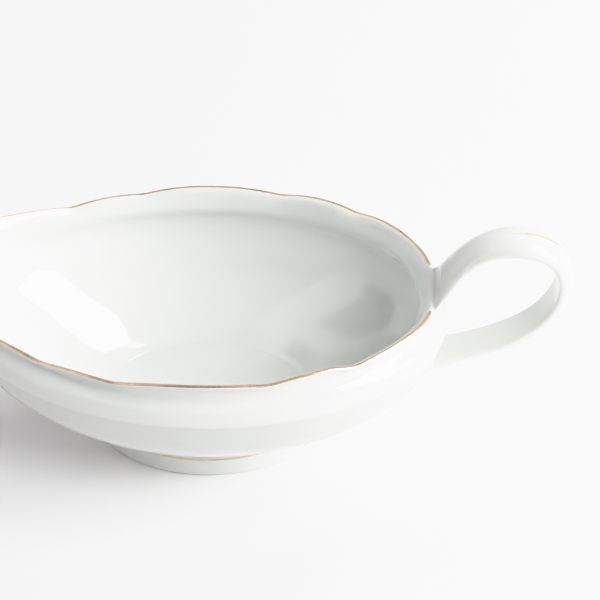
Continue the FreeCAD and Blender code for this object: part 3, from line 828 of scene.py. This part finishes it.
def gild_handle(count=260):
    """A stroke down the handle's crest, tapered at both ends."""
    wobble_a, wobble_b = waver(count, 16, 8, False), waver(count, 16, 9, False)
    points, normals = [], []
    for k, v in enumerate(np.linspace(8.8, 14.0, count)):
        t = k / (count - 1.0)
        half = 0.74 * (0.10 + 0.90 * min(ease(t / 0.22), ease((1.0 - t) / 0.35)))
        a, b = STRAP.grid([CREST - 0.25, CREST + 0.25], [v])[:, 0]
        u_per_mm = 0.5 / np.linalg.norm(b - a)
        us = CREST + u_per_mm * np.linspace(-half * (1 + 0.12 * wobble_a[k]),
                                            half * (1 + 0.12 * wobble_b[k]), BAND_ACROSS)
        points.append(STRAP.grid(us, [v])[:, 0])
        normals.append(STRAP.normals(STRAP.grid, us, [v])[:, 0])
    stroke = make_band("handle_gold_stroke", "handle_gilding", np.array(points),
                       np.array(normals), GOLD_PAINTED_SHEEN)
    # the lower end keeps the plain, deeper gold, where the painted reflection stops
    stroke.data.materials.append(GOLD)
    for poly in stroke.data.polygons:
        if min(poly.vertices) // (2 * BAND_ACROSS) > 0.87 * count:
            poly.material_index = 1


gild_rim()
gild_foot()
gild_handle()

# =====================================================================
# Stage, in metres
# =====================================================================
scene = bpy.context.scene
view = scene.view_settings
view.view_transform = "Standard"
view.look = "None"
view.exposure = 0.0


def paper():
    mat, tree, shader = principled("paper_floor")
    link = tree.links.new
    coords = add_node(tree, "ShaderNodeTexCoord")
    noise = add_noise(tree, coords, scale=3.0, detail=3.0, roughness=0.5)
    ramp = add_ramp(tree, noise, (0.86, 0.85, 0.857), (0.90, 0.893, 0.898))
    link(ramp.outputs["Color"], shader.inputs["Base Color"])
    set_inputs(shader, {"Roughness": 0.65, "Specular IOR Level": 0.25,
                        "Emission Color": (1, 1, 1, 1)})
    # far from the boat the paper runs out into white, for the camera only
    away = add_node(tree, "ShaderNodeVectorMath", operation="LENGTH")
    link(coords.outputs["Object"], away.inputs[0])
    fade = add_node(tree, "ShaderNodeMapRange",
                    {"From Min": 0.75, "From Max": 2.2, "To Max": 1.25})
    link(away.outputs["Value"], fade.inputs["Value"])
    ray = add_node(tree, "ShaderNodeLightPath")
    seen = add_node(tree, "ShaderNodeMath", operation="MULTIPLY")
    link(fade.outputs["Result"], seen.inputs[0])
    link(ray.outputs["Is Camera Ray"], seen.inputs[1])
    link(seen.outputs[0], shader.inputs["Emission Strength"])
    return mat


def build_floor(cells=40, half=5.0):
    mat = paper()
    places = [-half + 2 * half * i / cells for i in range(cells + 1)]
    mesh = bpy.data.meshes.new("floor")
    mesh.from_pydata([(x, y, 0.0) for x in places for y in places], [],
                     grid_faces(cells + 1, cells + 1, closed_u=False))
    mesh.materials.append(mat)
    floor = bpy.data.objects.new("floor", mesh)
    scene.collection.objects.link(floor)


build_floor()


def toward(azimuth, elevation):
    """Unit direction from degrees; azimuth 0 is +x, 90 is +y."""
    a, e = math.radians(azimuth), math.radians(elevation)
    return (math.cos(e) * math.cos(a), math.cos(e) * math.sin(a), math.sin(e))


# Room light in soft lobes, strongest at the back and left: azimuth, elevation, strength,
# colour
ROOM_LOBES = [
    (90, 12, 0.34, (1.04, 0.97, 0.99)), (135, 12, 0.90, (1.03, 0.97, 1.0)),
    (180, 12, 0.72, (1.02, 0.98, 1.0)), (142, 48, 0.46, (1.0, 1.0, 1.0)),
    (202, 48, 0.15, (0.98, 1.03, 0.99)), (262, 48, 0.08, (1, 1, 1)),
    (322, 48, 0.17, (1, 1, 1)),
]
LOBE_SHARPNESS = 7.0
CAMERA_WHITE = 1.9       # strength of the plain white the camera sees


def build_world():
    world = bpy.data.worlds.new("studio")
    scene.world = world
    tree = empty_tree(world)
    link = tree.links.new

    def calculate(operation, value, number=None):
        node = add_node(tree, "ShaderNodeMath", operation=operation)
        link(value, node.inputs[0])
        if number is not None:
            node.inputs[1].default_value = number
        return node.outputs[0]

    output = add_node(tree, "ShaderNodeOutputWorld")
    coords = add_node(tree, "ShaderNodeTexCoord")
    unit = add_node(tree, "ShaderNodeVectorMath", operation="NORMALIZE")
    link(coords.outputs["Generated"], unit.inputs[0])
    room = None
    for azimuth, elevation, strength, colour in ROOM_LOBES:
        dot = add_node(tree, "ShaderNodeVectorMath", {1: toward(azimuth, elevation)},
                       operation="DOT_PRODUCT")
        link(unit.outputs[0], dot.inputs[0])
        value = calculate("SUBTRACT", dot.outputs["Value"], 1.0)
        value = calculate("MULTIPLY", value, LOBE_SHARPNESS)
        value = calculate("MULTIPLY", calculate("EXPONENT", value), strength)
        lobe = add_node(tree, "ShaderNodeBackground", {"Color": (*colour, 1)})
        link(value, lobe.inputs["Strength"])
        if room is None:
            room = lobe.outputs[0]
        else:
            both = add_node(tree, "ShaderNodeAddShader")
            link(room, both.inputs[0])
            link(lobe.outputs[0], both.inputs[1])
            room = both.outputs[0]
    white = add_node(tree, "ShaderNodeBackground", {"Strength": CAMERA_WHITE})
    ray = add_node(tree, "ShaderNodeLightPath")
    pick = add_node(tree, "ShaderNodeMixShader")
    link(ray.outputs["Is Camera Ray"], pick.inputs[0])
    link(room, pick.inputs[1])
    link(white.outputs[0], pick.inputs[2])
    link(pick.outputs[0], output.inputs["Surface"])


build_world()


# ---------------------------------------------------------------- lamps
def lamp(name, place, x, y, z, shape, size, power, size_y=None, colour=(1, 1, 1)):
    """Area lamp with axes x, y, z, shining along -z and unseen in reflections."""
    light = bpy.data.lights.new(name, "AREA")
    light.shape = shape
    light.size = size
    if size_y is not None:
        light.size_y = size_y
    light.energy = power
    light.color = colour
    ob = bpy.data.objects.new(name, light)
    ob.matrix_world = Matrix(((x.x, y.x, z.x, place.x), (x.y, y.y, z.y, place.y),
                              (x.z, y.z, z.z, place.z), (0, 0, 0, 1)))
    ob.visible_glossy = False
    scene.collection.objects.link(ob)


def softbox(name, corners, distance, power):
    """Rectangular lamp seen from the boat between four directions."""
    aim = Vector((0, 0, 0.04))
    near_low, far_low, far_high, near_high = [Vector(c).normalized() * distance + aim
                                              for c in corners]
    place = (near_low + far_low + far_high + near_high) / 4
    up = (far_high + near_high) / 2 - (near_low + far_low) / 2
    across = (far_low + far_high) / 2 - (near_low + near_high) / 2
    z = (place - aim).normalized()
    y = up.normalized()
    y = (y - z * y.dot(z)).normalized()
    x = y.cross(z)
    lamp(name, place, x, y, z, "RECTANGLE", abs(across.dot(x)), power,
         size_y=abs(up.dot(y)))


def disc(name, azimuth, elevation, power, colour=(1, 1, 1), distance=1.5, size=0.65):
    aim = Vector((0, 0, 0.03))
    place = Vector(toward(azimuth, elevation)) * distance + aim
    z = (place - aim).normalized()
    x = Vector((0, 0, 1)).cross(z).normalized()
    lamp(name, place, x, z.cross(x), z, "DISK", size, power, colour=colour)


# the window's light, spread over a tall pane leaning over the table from the right
softbox("window", [(.96, -.21, .17), (.81, -.45, .37), (.43, -.10, .90), (.47, .27, .84)],
        distance=1.6, power=12.0)
disc("side_low", azimuth=2, elevation=18, power=15.0, colour=(1.0, 0.995, 1.0))
disc("side_front", azimuth=-58, elevation=34, power=2.7, colour=(1.0, 0.99, 1.02))
disc("front_low", azimuth=-75, elevation=22, power=0.9)
disc("side_high", azimuth=-40, elevation=44, power=11.0)
disc("side_back", azimuth=60, elevation=42, power=8.5)


# ---------------------------------------------------------------- cards
def card(name, directions, distance, strength):
    """A glowing panel that only shows in reflections, its corners along directions."""
    corners = []
    for direction in directions:
        corner = Vector(direction).normalized() * distance
        corners.append((corner.x, corner.y, corner.z + 0.04))
    count = len(corners)
    middle = tuple(sum(corner[k] for corner in corners) / count for k in range(3))
    mesh = bpy.data.meshes.new(name)
    mesh.from_pydata([middle] + corners, [],
                     [(0, 1 + k, 1 + (k + 1) % count) for k in range(count)])
    mat = bpy.data.materials.new(name)
    tree = empty_tree(mat)
    output = add_node(tree, "ShaderNodeOutputMaterial")
    glow = add_node(tree, "ShaderNodeEmission", {"Color": (1, 1, 1, 1), "Strength": strength})
    tree.links.new(glow.outputs[0], output.inputs["Surface"])
    mesh.materials.append(mat)
    ob = bpy.data.objects.new(name, mesh)
    scene.collection.objects.link(ob)
    ob.visible_camera = False
    ob.visible_diffuse = False
    ob.visible_shadow = False
    ob.visible_transmission = False


# Outlines as seen from the boat: the pane in x, y, z, the rest in azimuth, elevation
PANE = [(.949, .031, .315), (.942, -.231, .20), (.92, -.36, .154), (.805, -.459, .375),
        (.617, -.275, .734), (.44, -.20, .875), (.418, -.14, .897), (.484, .214, .848),
        (.753, .105, .65)]
BACK_WALL = [(50, 4), (50, 50), (75, 55), (100, 55), (135, 50), (150, 42), (150, 4), (100, 4)]
LEFT_WALL = [(138, -1), (138, 62), (160, 70), (190, 72), (222, 60), (222, -1)]
DARK_SIDE = [(194, -1), (188, 6), (184, 14), (173, 23), (163, 27.5), (157, 37), (152, 42),
             (154, 46.5), (174.7, 54.5), (184.7, 56.8), (188, 50), (194.9, 36.3),
             (204.2, 19.1), (203, 5), (200, -1)]
card("window_pane", PANE, distance=1.45, strength=26.0)
for card_name, outline, card_distance, card_strength in [
        ("back_wall", BACK_WALL, 2.2, 0.75),
        ("left_wall", LEFT_WALL, 4.8, 1.6),
        ("dark_side", DARK_SIDE, 2.6, 0.02)]:   # a dark opening before the left wall
    card(card_name, [toward(*corner) for corner in outline], card_distance, card_strength)

# ---------------------------------------------------------------- tone curve
# A soft shoulder: greys stay put, whites run gently into paper white. Scene value, shown
# value
SHOULDER = [(0.0, 0.0), (0.55, 0.55), (0.70, 0.69), (0.85, 0.81), (1.0, 0.88), (1.15, 0.92),
            (1.35, 0.945), (1.7, 0.965), (2.5, 0.985), (4.0, 1.0)]
WHITE_LEVEL = SHOULDER[-1][0]


def set_tone_curve():
    view.use_curve_mapping = True
    mapping = view.curve_mapping
    mapping.extend = "HORIZONTAL"
    mapping.white_level = (WHITE_LEVEL, WHITE_LEVEL, WHITE_LEVEL)
    curve = mapping.curves[3]    # the combined curve
    while len(curve.points) > 2:
        curve.points.remove(curve.points[1])
    for value, shown in SHOULDER[1:-1]:
        curve.points.new(value / WHITE_LEVEL, shown)
    for point in curve.points:
        point.handle_type = "VECTOR"
    mapping.update()


set_tone_curve()


# ---------------------------------------------------------------- camera
def build_camera():
    """Long lens, looking steeply down from the -y side."""
    data = bpy.data.cameras.new("camera")
    data.sensor_width = 36.0
    data.lens = 128.6
    data.clip_start = 0.05
    data.clip_end = 50
    camera = bpy.data.objects.new("camera", data)
    camera.location = (0.05126, -0.53655, 0.50410)
    camera.rotation_euler = (math.radians(50.0), 0.0, 0.037023)
    scene.collection.objects.link(camera)
    scene.camera = camera


build_camera()
